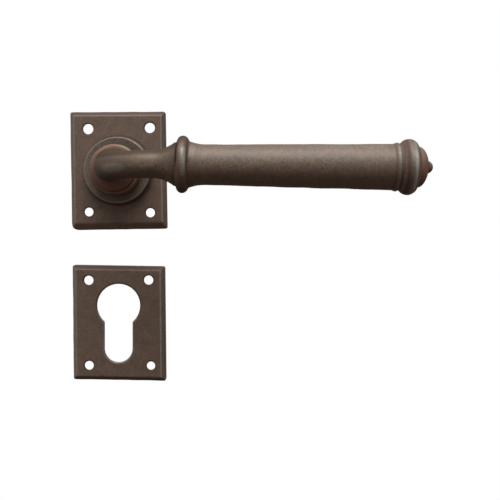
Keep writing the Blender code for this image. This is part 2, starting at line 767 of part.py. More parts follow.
def make_retaining_ring():
    ring = baked(turned("retaining_ring", ring_profile(*RETAINER), PARTS))
    front, back = RETAINER[2] - OVERSHOOT, RETAINER[3] + OVERSHOOT
    half = RETAINER_MOUTH / 2
    wedge = [(0.0, 0.0)]
    wedge += [polar(3 * RETAINER[1], angle) for angle in (math.pi / 2 - half, math.pi / 2 + half)]
    difference(ring, flat_cutter("retainer_mouth", wedge, (0.0, 0.0), front, back))
    return as_part(ring, "spring_steel")


def spring_end_angle():
    return COIL_START_ANGLE - COIL_TURNS * 2 * math.pi


def spring_path():
    """Inward leg in the shank's notch, coil, then a leg along +Y into the housing."""
    points = [(LEG_INNER, COIL_START_ANGLE, COIL_FRONT)]
    leg_outer = COIL_RADIUS - LEG_BEND
    turn_angle = LEG_BEND / COIL_RADIUS
    for degrees in (0.0, *LEG_TURNS):
        turn = math.radians(degrees)
        angle = COIL_START_ANGLE - turn_angle * (1.0 - math.cos(turn))
        points.append((leg_outer + LEG_BEND * math.sin(turn), angle, COIL_FRONT))
    start = COIL_START_ANGLE - turn_angle
    end = spring_end_angle() + turn_angle
    segments = round(COIL_TURNS * COIL_STEPS_PER_TURN)
    for i in range(segments + 1):
        along = i / segments
        y = COIL_FRONT + along * COIL_TURNS * COIL_PITCH
        points.append((COIL_RADIUS, start + (end - start) * along, y))
    coil_back = points[-1][2]
    for degrees in (*LEG_TURNS, 90.0):
        turn = math.radians(degrees)
        angle = end - turn_angle * math.sin(turn)
        points.append((COIL_RADIUS, angle, coil_back + LEG_BEND * (1.0 - math.cos(turn))))
    points.append((COIL_RADIUS, spring_end_angle(), HOUSING_END[1] - AXIS_EPSILON))
    path = []
    for radius, angle, y in points:
        x, z = polar(radius, angle)
        path.append(Vector((x, y, z)))
    return path


def make_return_spring():
    curve = bpy.data.curves.new("return_spring", "CURVE")
    curve.dimensions = "3D"
    curve.bevel_depth = WIRE_RADIUS
    curve.bevel_resolution = 2
    curve.use_fill_caps = True
    path = spring_path()
    spline = curve.splines.new("POLY")
    spline.points.add(len(path) - 1)
    for point, place in zip(spline.points, path):
        point.co = (*place, 1.0)
    spring = baked(add_object("return_spring", curve, PARTS), weld=AXIS_EPSILON / 10)
    return as_part(spring, "spring_steel")


make_rose_plate()
make_key_escutcheon()
make_lever()
make_spindle()
make_grub_screw()
make_bushes()
make_spring_housing()
make_cover_screws()
make_stop_pins()
make_stop_cam()
make_washers()
make_retaining_ring()
make_return_spring()
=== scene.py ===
"""Looks of the door lever handle: three castings, the finishes of the hardware, floor, light and camera.

Shapes are worked out in millimetres in the frame's own axes and turned into metres
when a mesh is made. The castings carry painted layers that one patina reads: a wear
layer on what hands rub bright, which also holds painted highlights, a recess layer on
the dark patina of hollows, which also holds painted shade, "rust" where the brown is
redder, or greyer below 0, and "oiled" on the lever's smooth dark skin.
"""

import math

import bmesh
import bpy
import numpy as np
from mathutils import Matrix, Vector


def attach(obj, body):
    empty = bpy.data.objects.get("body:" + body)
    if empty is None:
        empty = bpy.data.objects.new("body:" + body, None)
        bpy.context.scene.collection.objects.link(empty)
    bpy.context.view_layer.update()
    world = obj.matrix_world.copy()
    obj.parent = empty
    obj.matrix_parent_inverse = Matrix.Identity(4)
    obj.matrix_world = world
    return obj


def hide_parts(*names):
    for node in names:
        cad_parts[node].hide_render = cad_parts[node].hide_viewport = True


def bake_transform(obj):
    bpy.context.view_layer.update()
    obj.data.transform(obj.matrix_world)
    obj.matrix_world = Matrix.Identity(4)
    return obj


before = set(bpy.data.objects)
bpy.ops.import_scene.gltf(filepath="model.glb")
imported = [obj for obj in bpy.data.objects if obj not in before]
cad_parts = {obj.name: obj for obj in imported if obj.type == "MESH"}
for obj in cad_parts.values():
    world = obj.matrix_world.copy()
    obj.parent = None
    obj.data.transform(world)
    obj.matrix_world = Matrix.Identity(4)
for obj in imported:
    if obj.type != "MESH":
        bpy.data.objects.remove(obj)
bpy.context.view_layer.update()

MM = 0.001

# ---------------------------------------------------------------- sizes, in mm

PLATE_THICK = 5.0
BEVEL_START = 3.4

# Corners of each plate's outline (top left, top right, bottom right, bottom left),
# and the width of its bevel on the left, top, right and bottom
ROSE_CORNERS = ((-20.9, 25.0), (19.6, 25.25), (20.4, -24.7), (-20.1, -25.3))
ROSE_BEVELS = (1.7, 1.8, 1.7, 2.8)
ROSE_HOLES = ((-12.9, 17.65, 2.12), (13.25, 18.15, 2.12), (-12.55, -17.55, 1.8), (13.5, -17.85, 1.88))
KEY_CORNERS = ((-19.9, -40.2), (19.4, -40.85), (19.9, -89.5), (-19.35, -88.85))
KEY_BEVELS = (1.7, 1.6, 1.7, 1.7)
KEY_HOLES = ((-12.65, -46.55, 1.92), (12.75, -46.45, 1.91), (-12.45, -82.65, 1.83), (13.75, -82.8, 1.72))
HOLE_DRAFT = 1.3
KEYHOLE_DRAFT = 1.2
KEYHOLE_CENTRE = (0.0, -57.2)
KEYHOLE_RADIUS = 9.1
KEYHOLE_HALF_SLOT = 5.9
KEYHOLE_FOOT = -81.3
# Darkest value of the plates' dark layer, which holds their dark patina and painted shade; only the
# lever's grooves go further
PLATE_DARKEST = 0.9
# How far the plates' surfaces wander from flat, and the length of those swells
CAST_SWELL = 0.035
CAST_SWELL_LENGTH = 7.0

COLLAR_RADIUS = 14.0
COLLAR_TOP = 9.4
COLLAR_RIM = 13.3
COLLAR_DISH = 0.55
BOSS_RADIUS = 10.5
COLLAR_BORE = 9.2
# Steps of the hollow behind the collar as (radius, height above the rose's back)
HOLLOW = ((17.3, 1.8), (12.8, 4.5), (12.0, 7.0))
# The holes that hold the housing: their circle, and each one's radius and depth
COVER_SCREW_CIRCLE = 14.8
COVER_SCREW_HOLE = (1.2, 3.6)

BEND_RADIUS = 21.0
BEND_START = 29.0
DROOP = math.tan(math.radians(0.75))
SHANK_RADIUS = 7.5
SHANK_END = 10.5
SHANK_FLAT = 6.5
FLATS_START = 1.4
SOCKET_HALF = 4.3
SOCKET_END = -20.3
GRUB_Y = -13.2
GRUB_HOLE = 2.8
GRUB_HOLE_MIDDLE = -7.8
GRUB_HOLE_LENGTH = 10.0
# Turned so that no corner of the hole meets the casting's own edges
GRUB_HOLE_TURN = math.radians(4.9)
NOTCH = ((5.9, -5.9, -1.1), (9.5, -3.7, 1.1))
EDGE_EASE = 0.12

# Meshing: rings round the lever and its socket, the plates' grid, and the gap that is welded
LEVER_SIDES = 112
SOCKET_ROWS = 20
MESH_STEP = 0.33
WELD_REACH = 0.02

# The lever's outline as (distance, radius). Distances run from the spindle's axis for
# the beads of the grip, and from the plate's back for the shank and the boss.
CLIP_GROOVE = (-9.4, -7.8, 6.7)
BOSS = (
    (9.4, 10.2),
    (9.7, 10.5),
    (12.5, 10.5),
    (15.2, 10.4),
    (15.9, 10.1),
    (16.2, 9.6),
    (16.5, 9.05),
    (16.8, 8.85),
)
NECK_START = 17.1
NECK_RADII = (9.05, 5.3, 5.1, 7.2)
NECK_FLARE = 5.9
GRIP_RADII = (7.4, 8.43)
GRIP_FLARE = (33.4, 39.4, 1.05)
GRIP_END = 106.8
# Beads: centre, radius their arc stands on, and the arc's own radius
FILLET_BEAD = (28.1, 7.45, 0.55)
FRONT_BEAD = (31.05, 8.25, 2.15)
SMALL_BEAD = (108.55, 8.15, 0.85)
END_BEAD = (113.0, 6.75, 3.5)
DOME = (116.35, 7.5, 4.0)
BALL = (119.85, 2.35, 2.3)
# The grip's beads lean a little, and its end sits a touch high
BEAD_LEAN = 0.03
END_LIFT = 0.15

# ---------------------------------------------------------------- surroundings, in metres

FLOOR_PLACE = (0.03, 0.0, -0.40)
FLOOR_RADIUS = 0.6
# In mm, as the materials' texture space is
FLOOR_FADE = (250.0, 590.0)
SKY_TINT = (1.0, 0.985, 0.94, 1.0)
GROUND_TINT = (1.0, 0.70, 0.58, 1.0)
PANEL_TINT = (1.0, 0.985, 0.945)
PANEL_SIZE = (1.0, 0.6)
PANEL_POWER = 13.0
PANEL_PLACE = (0.06, -0.46, 0.93)
PANEL_AIM = (0.05, -0.02, -0.03)
CAMERA_PLACE = (0.0545, -0.323, -0.0167)
CAMERA_LENS = 54.0
CAMERA_SHIFT = (0.006, -0.08)


# ---------------------------------------------------------------- fields


def ramp(value, low, high):
    """0 up to low, 1 from high, and smooth between."""
    along = np.clip((value - low) / (high - low), 0.0, 1.0)
    return along * along * (3.0 - 2.0 * along)


def bump_at(value, centre, width):
    """A rounded bump of height 1 round a centre."""
    return np.exp(-(((value - centre) / width) ** 2))


def soft_max(a, b, reach):
    """Intersection of two solids with the edge between them rounded over that reach."""
    close = np.maximum(reach - np.abs(a - b), 0.0) / reach
    return np.maximum(a, b) + close * close * reach * 0.25


def soft_min(a, b, reach):
    """Union of two solids with a fillet of about that reach."""
    return -soft_max(-a, -b, reach)


def waves(points, length, seed, count=16):
    """Smooth random field, about -1 to 1, whose swells are about that long."""
    rng = np.random.default_rng(seed)
    directions = rng.normal(size=(count, 3))
    directions /= np.linalg.norm(directions, axis=1)[:, None]
    numbers = 2.0 * math.pi / (length * rng.uniform(0.7, 1.7, count))
    phases = rng.uniform(0.0, 2.0 * math.pi, count)
    total = np.zeros(len(points))
    for direction, number, phase in zip(directions, numbers, phases):
        total += np.sin(points @ (direction * number) + phase)
    return total / math.sqrt(count)


def plate_sides(points, corners):
    """How far outside each side of a plate's outline a point is: left, top, right, bottom."""
    x, z = points[:, 0], points[:, 2]
    sides = []
    for start, end in ((3, 0), (0, 1), (1, 2), (2, 3)):
        (ax, az), (bx, bz) = corners[start], corners[end]
        length = math.hypot(bx - ax, bz - az)
        normal = (-(bz - az) / length, (bx - ax) / length)
        sides.append((x - ax) * normal[0] + (z - az) * normal[1])
    return sides


def plate_field(points, corners, bevels, worn_corner=None):
    """Cast plate from Y = 0 forward, its four bevels drawn in round the face."""
    x, height, z = points[:, 0], -points[:, 1], points[:, 2]
    sides = plate_sides(points, corners)
    corner = 0.9
    if worn_corner:
        away = np.hypot(x - worn_corner[0], z - worn_corner[1])
        corner = corner + worn_corner[2] * ramp(-away, -9.0, -3.0)
    outline = soft_max(soft_max(sides[0], sides[1], corner), soft_max(sides[2], sides[3], corner), corner)
    rise = PLATE_THICK - BEVEL_START
    slopes = [
        (side * rise + (height - BEVEL_START) * width) / math.hypot(rise, width)
        for side, width in zip(sides, bevels)
    ]
    bevel = slopes[0]
    for slope in slopes[1:]:
        bevel = soft_max(bevel, slope, 0.4)
    body = soft_max(outline, bevel, 0.35)
    body = soft_max(body, height - PLATE_THICK, 0.3)
    return soft_max(body, -height, 0.25)


def drilled(field, points, holes):
    """The same solid with cored holes, wider at the back and eased at the front."""
    x, height, z = points[:, 0], -points[:, 1], points[:, 2]
    draft = HOLE_DRAFT * np.clip(1.0 - height / (PLATE_THICK - 0.6), 0.0, 1.0)
    ease = 0.25 * np.exp(np.minimum(height - PLATE_THICK, 0.0) / 0.25)
    for hole_x, hole_z, radius in holes:
        away = np.hypot(x - hole_x, z - hole_z)
        field = soft_max(field, (radius + draft + ease - away) * 0.96, 0.25)
    return field


def rose_field(points):
    """The rose: plate, collar with its dished front, hollow back and holes."""
    x, height, z = points[:, 0], -points[:, 1], points[:, 2]
    field = plate_field(points, ROSE_CORNERS, ROSE_BEVELS, (*ROSE_CORNERS[3], 2.4))
    away = np.hypot(x, z)
    fall = COLLAR_DISH * np.clip((COLLAR_RIM - away) / (COLLAR_RIM - BOSS_RADIUS), 0.0, 1.0)
    collar = soft_max(away - COLLAR_RADIUS, height - COLLAR_TOP + fall, 0.5)
    field = soft_min(field, soft_max(collar, -height, 0.2), 0.5)
    field = field + CAST_SWELL * waves(points, CAST_SWELL_LENGTH, 11) * ramp(height, 1.0, 3.0)
    hollow = np.maximum(away - COLLAR_BORE, height - COLLAR_TOP - 2.0)
    for radius, depth in HOLLOW:
        hollow = np.minimum(hollow, np.maximum(away - radius, height - depth))
    for index in range(4):
        angle = math.radians(45.0 + 90.0 * index)
        hole_x, hole_z = COVER_SCREW_CIRCLE * math.cos(angle), COVER_SCREW_CIRCLE * math.sin(angle)
        hole = np.hypot(x - hole_x, z - hole_z) - COVER_SCREW_HOLE[0]
        hollow = np.minimum(hollow, np.maximum(hole, height - COVER_SCREW_HOLE[1]))
    return drilled(soft_max(field, -hollow, 0.15), points, ROSE_HOLES)


def keyhole_depth(points):
    """How far inside the keyhole's outline a point is, negative outside it."""
    x, z = points[:, 0], points[:, 2]
    circle = KEYHOLE_RADIUS - np.hypot(x - KEYHOLE_CENTRE[0], z - KEYHOLE_CENTRE[1])
    foot = KEYHOLE_FOOT + KEYHOLE_HALF_SLOT
    below = np.minimum(z - foot, 0.0)
    above = np.maximum(z - KEYHOLE_CENTRE[1], 0.0)
    slot = KEYHOLE_HALF_SLOT - np.hypot(np.hypot(x, below), above)
    return soft_max(circle, slot, 0.4)


def key_field(points):
    """The escutcheon: plate, keyhole and holes."""
    height = -points[:, 1]
    field = plate_field(points, KEY_CORNERS, KEY_BEVELS)
    field = field + CAST_SWELL * waves(points, CAST_SWELL_LENGTH, 23) * ramp(height, 1.0, 3.0)
    draft = KEYHOLE_DRAFT * np.clip(1.0 - height / (PLATE_THICK - 0.8), 0.0, 1.0)
    field = soft_max(field, (keyhole_depth(points) + draft) * 0.96, 0.6)
    return drilled(field, points, KEY_HOLES)


# ---------------------------------------------------------------- meshes


def slopes_of(field, points, reach=0.03):
    """Gradient of a field by central differences."""
    gradient = np.empty_like(points)
    for axis in range(3):
        offset = np.zeros(3)
        offset[axis] = reach
        gradient[:, axis] = (field(points + offset) - field(points - offset)) / (2.0 * reach)
    return gradient


def settle(field, points, limit, rounds):
    """Points moved onto the field's zero level."""
    for _ in range(rounds):
        gradient = slopes_of(field, points)
        size = np.maximum((gradient**2).sum(1), 0.05)
        move = gradient * (field(points) / size)[:, None]
        length = np.linalg.norm(move, axis=1)
        points = points - move * np.minimum(1.0, limit / np.maximum(length, 1e-9))[:, None]
    return points


def surface_of(field, low, high, step):
    """Quads on a field's zero level: one vertex in each grid cell that the surface crosses."""
    axes = [np.arange(start, end + step, step) for start, end in zip(low, high)]
    grid = np.stack(np.meshgrid(*axes, indexing="ij"), -1)
    shape = grid.shape[:3]
    value = field(grid.reshape(-1, 3)).reshape(shape)
    inside = value < 0.0
    cells = tuple(size - 1 for size in shape)
    count = np.zeros(cells, int)
    for corner in np.ndindex(2, 2, 2):
        count += inside[tuple(slice(c, c + size) for c, size in zip(corner, cells))]
    active = (count > 0) & (count < 8)
    number = np.full(cells, -1)
    number[active] = np.arange(active.sum())
    where = np.argwhere(active)
    points = np.array(low) + (where + 0.5) * step
    faces = []
    for axis in range(3):
        second, third = (axis + 1) % 3, (axis + 2) % 3
        first = [slice(None)] * 3
        last = [slice(None)] * 3
        first[axis], last[axis] = slice(0, -1), slice(1, None)
        crossing = inside[tuple(first)] != inside[tuple(last)]
        places = np.argwhere(crossing)
        for other in (second, third):
            fits = (places[:, other] >= 1) & (places[:, other] <= shape[other] - 2)
            places = places[fits]
        along_second = np.eye(3, dtype=int)[second]
        along_third = np.eye(3, dtype=int)[third]
        beside = places - along_second
        around = [places, beside, beside - along_third, places - along_third]
        quads = np.stack([number[tuple(p.T)] for p in around], 1)
        flip = ~inside[tuple(places.T)]
        quads[flip] = quads[flip][:, ::-1]
        faces.append(quads)
    faces = np.concatenate(faces)
    points = settle(field, points, 0.7 * step, 3)
    for _ in range(3):
        total = np.zeros_like(points)
        tally = np.zeros(len(points))
        for a, b in ((0, 1), (1, 2), (2, 3), (3, 0)):
            np.add.at(total, faces[:, a], points[faces[:, b]])
            np.add.at(total, faces[:, b], points[faces[:, a]])
            np.add.at(tally, faces[:, a], 1)
            np.add.at(tally, faces[:, b], 1)
        points = points + 0.5 * (total / tally[:, None] - points)
        points = settle(field, points, 0.4 * step, 2)
    return points, faces


def weld(piece):
    """Joins points that nearly touch, where the grid has pinched the surface."""
    work = bmesh.new()
    work.from_mesh(piece.data)
    bmesh.ops.remove_doubles(work, verts=work.verts, dist=WELD_REACH * MM)
    work.to_mesh(piece.data)
    work.free()


def bend_of(field, points, reach=0.6):
    """How sharply the surface turns at each point: positive on edges, negative in corners."""
    turns = np.radians(np.arange(5) * 137.5)
    heights = np.linspace(0.1, 0.9, 5)
    total = -10.0 * field(points)
    for angle, height in zip(turns, heights):
        flat = math.sqrt(1.0 - height * height)
        offset = reach * np.array([flat * math.cos(angle), height, flat * math.sin(angle)])
        total += field(points + offset) + field(points - offset)
    return 0.6 * total / reach


def make_piece(name, points, faces, layers, body, nodes):
    """Object from millimetre points, with its painted layers, riding on a body."""
    mesh = bpy.data.meshes.new(name)
    mesh.from_pydata((points * MM).tolist(), [], [list(face) for face in faces])
    mesh.validate()
    for layer, values in layers.items():
        attribute = mesh.attributes.new(layer, "FLOAT", "POINT")
        attribute.data.foreach_set("value", np.asarray(values, np.float32))
    mesh.shade_smooth()
    piece = bpy.data.objects.new(name, mesh)
    bpy.context.scene.collection.objects.link(piece)
    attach(piece, body)
    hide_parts(*nodes)
    return piece


def grime_and_shade_round_holes(points, holes):
    """1 on a hole's wall and its eased edge, falling off just outside it: grime, and painted shade in the
    hole's mouth.
    """
    grime_and_shade = np.zeros(len(points))
    for hole_x, hole_z, radius in holes:
        away = np.hypot(points[:, 0] - hole_x, points[:, 2] - hole_z)
        grime_and_shade = np.maximum(grime_and_shade, ramp(-away, -radius - 0.8, -radius - 0.35))
    return grime_and_shade


def painted_bevels(points, corners, bevels, slopes, ridges, rims):
    """How rubbed each bevel is, with the ridge line where it meets the face and its outer rim.

    A slope below 0 darkens the bevel instead, as dark patina or as painted shade. The result is the wear
    and the darkening.
    """
    height = -points[:, 1]
    insets = [-side for side in plate_sides(points, corners)]
    nearest = np.argmin(np.stack([i / w for i, w in zip(insets, bevels)]), 0)
    wear_and_highlight = np.zeros(len(points))
    grime_and_shade = np.zeros(len(points))
    for index, (inset, width) in enumerate(zip(insets, bevels)):
        here = (nearest == index) * ramp(height, 2.9, 3.3)
        slope = slopes[index] * ramp(-inset, -width, -width + 0.5)
        paint = np.maximum(slope, ridges[index] * bump_at(inset, width + 0.05, 0.38))
        paint = np.maximum(paint, rims[index] * bump_at(inset, 0.1, 0.35))
        wear_and_highlight = np.maximum(wear_and_highlight, here * paint)
        grime_and_shade = np.maximum(grime_and_shade, -slope * here)
    return wear_and_highlight, grime_and_shade


def room_round(corners, front):
    """Box round a plate, with a margin that its surface never reaches."""
    xs, zs = zip(*corners)
    return (min(xs) - 0.6, -front - 1.0, min(zs) - 0.6), (max(xs) + 0.6, 1.0, max(zs) + 0.6)


def make_rose():
    """The rose's casting, with its bevels, collar and holes painted."""
    points, faces = surface_of(rose_field, *room_round(ROSE_CORNERS, COLLAR_TOP), MESH_STEP)
    turn = bend_of(rose_field, points)
    height = -points[:, 1]
    away = np.hypot(points[:, 0], points[:, 2])
    grime_and_shade = grime_and_shade_round_holes(points, ROSE_HOLES)
    slopes = (0.65, -0.9, 0.2, 0.0)
    ridges = (1.25, 0.3, 1.1, 0.3)
    rims = (0.8, 0.0, 0.0, 0.0)
    wear_and_highlight, dark_bevels = painted_bevels(points, ROSE_CORNERS, ROSE_BEVELS, slopes, ridges, rims)
    wear_and_highlight = wear_and_highlight * (1.0 - grime_and_shade)
    raised = ramp(height, COLLAR_TOP - 1.3, COLLAR_TOP - 0.5)
    bearing = np.degrees(np.arctan2(points[:, 2], points[:, 0]))
    rim = (1.15 - 0.85 * bump_at(bearing, 100.0, 38.0)) * bump_at(away, COLLAR_RIM + 0.4, 0.3) * raised
    # The dish is rubbed grey all round, and painted lighter towards the upper left: a painted highlight
    # where the light falls.
    upper_left = ramp(points[:, 2] - 0.5 * points[:, 0], -6.0, 12.0)
    dish = ramp(away, BOSS_RADIUS - 0.5, BOSS_RADIUS + 0.5) * raised
    dish *= ramp(-away, -COLLAR_RIM - 0.4, -COLLAR_RIM)
    wear_and_highlight = np.maximum(wear_and_highlight, np.maximum(rim, dish * (0.2 + 0.3 * upper_left)))
    # Painted shade: a dark line round the collar's foot, where it meets the face.
    corner = bump_at(away, COLLAR_RADIUS + 0.5, 0.55) * bump_at(height, PLATE_THICK, 0.8)
    # Painted shade under the lever: the face's lower right made darker, with a little more rust there.
    lower_right = ramp(points[:, 0], 12.5, 15.5) * ramp(-points[:, 2], -4.0, 6.0)
    recess_and_shade = ramp(-turn, 0.3, 1.2) + grime_and_shade + corner + dark_bevels + 0.28 * lower_right
    recess_and_shade = np.clip(recess_and_shade, 0.0, PLATE_DARKEST)
    layers = {"wear_and_highlight": wear_and_highlight, "recess_and_shade": recess_and_shade, "rust": 0.3 * lower_right - 0.5 * dish}
    piece = make_piece("rose_casting", points, faces, layers, "plates", ["rose_plate"])
    weld(piece)
    return piece


def make_key():
    """The escutcheon's casting, with its bevels, keyhole and holes painted."""
    points, faces = surface_of(key_field, *room_round(KEY_CORNERS, PLATE_THICK), MESH_STEP)
    turn = bend_of(key_field, points)
    grime_and_shade = grime_and_shade_round_holes(points, KEY_HOLES)
    # Negative slopes darken a bevel: the top one's dark patina, and painted shade on the bottom one,
    # which faces down.
    slopes = (1.0, -1.0, 0.2, -0.6)
    ridges = (1.2, 0.3, 1.4, 0.0)
    rims = (1.1, 0.0, 0.2, 0.0)
    wear_and_highlight, dark_bevels = painted_bevels(points, KEY_CORNERS, KEY_BEVELS, slopes, ridges, rims)
    depth = keyhole_depth(points)
    # The keyhole's eased edge: its lower part worn and painted with a highlight where it catches the
    # light, its upper part painted with shade under the wall that faces down.
    edge = ramp(depth, -1.1, -0.3) * ramp(-points[:, 1], 3.8, 4.4)
    lower = ramp(-points[:, 2], 52.0, 66.0)
    wear_and_highlight = np.maximum(wear_and_highlight * (1.0 - grime_and_shade), 0.8 * edge * lower)
    recess_and_shade = ramp(-turn, 0.3, 1.2) + grime_and_shade + dark_bevels + 0.7 * edge * (1.0 - lower)
    recess_and_shade = np.clip(recess_and_shade, 0.0, PLATE_DARKEST)
    layers = {"wear_and_highlight": wear_and_highlight, "recess_and_shade": recess_and_shade, "rust": np.zeros(len(points))}
    piece = make_piece("key_casting", points, faces, layers, "plates", ["key_escutcheon"])
    weld(piece)
    return piece


# ---------------------------------------------------------------- the lever


def arc_points(start, bead, low, high, count):
    """(distance, radius) round a bead, from one angle to another off its top."""
    centre, base, radius = bead
    angles = np.radians(np.linspace(low, high, count))
    return [(start + centre + radius * math.sin(a), base + radius * math.cos(a)) for a in angles]


def lever_outline():
    """(distance along the centre line, radius) from the shank's end to the tip.

    The distance is -Y as far as the bend, and goes on through it along the grip.
    """
    outline = [(-SHANK_END, SHANK_RADIUS - 0.4), (-SHANK_END + 0.4, SHANK_RADIUS)]
    low, high, foot = CLIP_GROOVE
    outline += [(low, SHANK_RADIUS), (low, foot), (high, foot), (high, SHANK_RADIUS)]
    outline += [(COLLAR_TOP, SHANK_RADIUS), *BOSS]
    wide, thin, thinnest, flared = NECK_RADII
    for along in np.linspace(0.0, 1.0, 24):
        distance = NECK_START + (BEND_START - NECK_START) * along
        outline.append((distance, thin + (wide - thin) * (1.0 - along) ** 2.2))
    bend_end = BEND_START + BEND_RADIUS * math.pi / 2.0
    outline.append((bend_end, thinnest))
    start = bend_end - BEND_RADIUS
    for along in np.linspace(0.05, 1.0, 16):
        outline.append((bend_end + NECK_FLARE * along, thinnest + (flared - thinnest) * along**1.7))
    outline += arc_points(start, FILLET_BEAD, -75.0, 75.0, 9)
    outline += arc_points(start, FRONT_BEAD, -88.0, 88.0, 21)
    slim, full = GRIP_RADII
    flare_start, flare_end, flare = GRIP_FLARE
    for along in np.linspace(0.0, 1.0, 16):
        distance = flare_start + (flare_end - flare_start) * along
        outline.append((start + distance, slim + flare * (1.0 - along) ** 2))
    for along in np.linspace(0.05, 1.0, 20):
        outline.append((start + flare_end + (GRIP_END - flare_end) * along, slim + (full - slim) * along))
    outline += arc_points(start, SMALL_BEAD, -70.0, 70.0, 9)
    outline += arc_points(start, END_BEAD, -57.0, 53.0, 17)
    foot, radius, length = DOME
    angles = np.radians(np.linspace(0.0, 66.0, 12))
    outline += [(start + foot + length * math.sin(a), radius * math.cos(a)) for a in angles]
    foot, radius, length = BALL
    angles = np.radians(np.linspace(85.0, 0.0, 12))
    outline += [(start + foot + length * math.cos(a), radius * math.sin(a)) for a in angles]
    return np.array(outline), start


def spread_evenly(line, step):
    """Points along a polyline, a step apart."""
    lengths = np.linalg.norm(np.diff(line, axis=0), axis=1)
    total = np.concatenate([[0.0], np.cumsum(lengths)])
    places = np.arange(0.0, total[-1], step)
    return np.stack([np.interp(places, total, line[:, i]) for i in range(2)], 1)


def blurred(values, sigma):
    """Values smoothed along their length, the two ends kept."""
    reach = int(4 * sigma)
    kernel = np.exp(-0.5 * (np.arange(-reach, reach + 1) / sigma) ** 2)
    before = 2 * values[0] - values[reach:0:-1]
    after = 2 * values[-1] - values[-2 : -reach - 2 : -1]
    padded = np.concatenate([before, values, after])
    return np.convolve(padded, kernel / kernel.sum(), "valid")


def lever_stations():
    """Distances and radii of the loft's rings, closer together where the outline turns,
    with how sharply it turns there."""
    fine = 0.05
    outline, start = lever_outline()
    line = spread_evenly(outline, fine)
    line = np.stack([blurred(line[:, i], 3.2) for i in range(2)], 1)
    angle = np.unwrap(np.arctan2(np.gradient(line[:, 1]), np.gradient(line[:, 0])))
    turn = -np.gradient(blurred(angle, 8.0)) / fine
    pace = np.clip(0.22 / (np.abs(blurred(turn, 6.0)) + 0.12), 0.2, 1.1)
    places = [0]
    position = 0.0
    while True:
        position += pace[min(int(position / fine), len(pace) - 1)]
        if position / fine >= len(line) - 1:
            break
        places.append(int(position / fine))
    places.append(len(line) - 1)
    places = np.unique(places)
    return line[places], turn[places], start


def lever_place(distance, radius, angle):
    """Point of the lever's skin, the angle measured from its outer side up towards +Z."""
    bend_length = BEND_RADIUS * math.pi / 2.0
    turned = np.clip((distance - BEND_START) / BEND_RADIUS, 0.0, math.pi / 2.0)
    x = BEND_RADIUS * (1.0 - np.cos(turned)) + np.maximum(distance - BEND_START - bend_length, 0.0)
    y = -np.minimum(distance, BEND_START) - BEND_RADIUS * np.sin(turned)
    out = radius * np.cos(angle)
    x = x - out * np.cos(turned)
    y = y - out * np.sin(turned)
    z = radius * np.sin(angle)
    return np.stack([x, y, z], -1)


def lever_skin(line, start):
    """Points of the loft's rings, with the distance and the angle of each."""
    angles = np.arange(LEVER_SIDES) * 2.0 * math.pi / LEVER_SIDES
    distance = np.repeat(line[:, 0], LEVER_SIDES)
    radius = np.repeat(np.maximum(line[:, 1], 0.02), LEVER_SIDES)
    angle = np.tile(angles, len(line))
    points = lever_place(distance, radius, angle)
    uneven = 0.05 * waves(points, 9.0, 5) + 0.02 * waves(points, 3.5, 6)
    uneven *= ramp(distance, COLLAR_TOP, COLLAR_TOP + 2.0) * ramp(radius, 0.5, 4.0)
    points = lever_place(distance, radius + uneven, angle)
    points[:, 0] += BEAD_LEAN * points[:, 2] * ramp(distance - start, 22.0, 30.0)
    points[:, 2] -= DROOP * np.maximum(points[:, 0] - BEND_RADIUS, 0.0)
    points[:, 2] += END_LIFT * ramp(distance - start, 104.0, 112.0)
    flat = (points[:, 1] > FLATS_START) & (distance < 0.0)
    points[flat, 0] = np.clip(points[flat, 0], -SHANK_FLAT, SHANK_FLAT)
    return points, distance, angle


def socket_rings():
    """Rings of the spindle's square socket, from its closed end out."""
    angles = np.arange(LEVER_SIDES) * 2.0 * math.pi / LEVER_SIDES
    reach = np.maximum(np.abs(np.cos(angles)), np.abs(np.sin(angles)))
    square = np.stack([-np.cos(angles) / reach, np.sin(angles) / reach], 1) * SOCKET_HALF
    rows = []
    for y in np.linspace(SHANK_END, SOCKET_END, SOCKET_ROWS):
        rows.append(np.stack([square[:, 0], np.full(LEVER_SIDES, y), square[:, 1]], 1))
    return np.concatenate(rows[::-1])


def ring_faces(rows):
    """Faces of a closed tube: its first point, that many rings, and its last point."""
    sides = LEVER_SIDES
    faces = []
    after = np.roll(np.arange(sides), -1)
    for row in range(rows - 1):
        low, high = 1 + row * sides, 1 + (row + 1) * sides
        around = [low + np.arange(sides), low + after, high + after, high + np.arange(sides)]
        faces += np.stack(around, 1).tolist()
    faces += [[0, 1 + after[i], 1 + i] for i in range(sides)]
    last = 1 + (rows - 1) * sides
    tip = 1 + rows * sides
    faces += [[last + i, last + int(after[i]), tip] for i in range(sides)]
    return faces


# The lever's layers. "distance" runs along the centre line, "along" is X on the grip,
# "outer" is 1 on the side away from the door and "upper" is 1 on top.


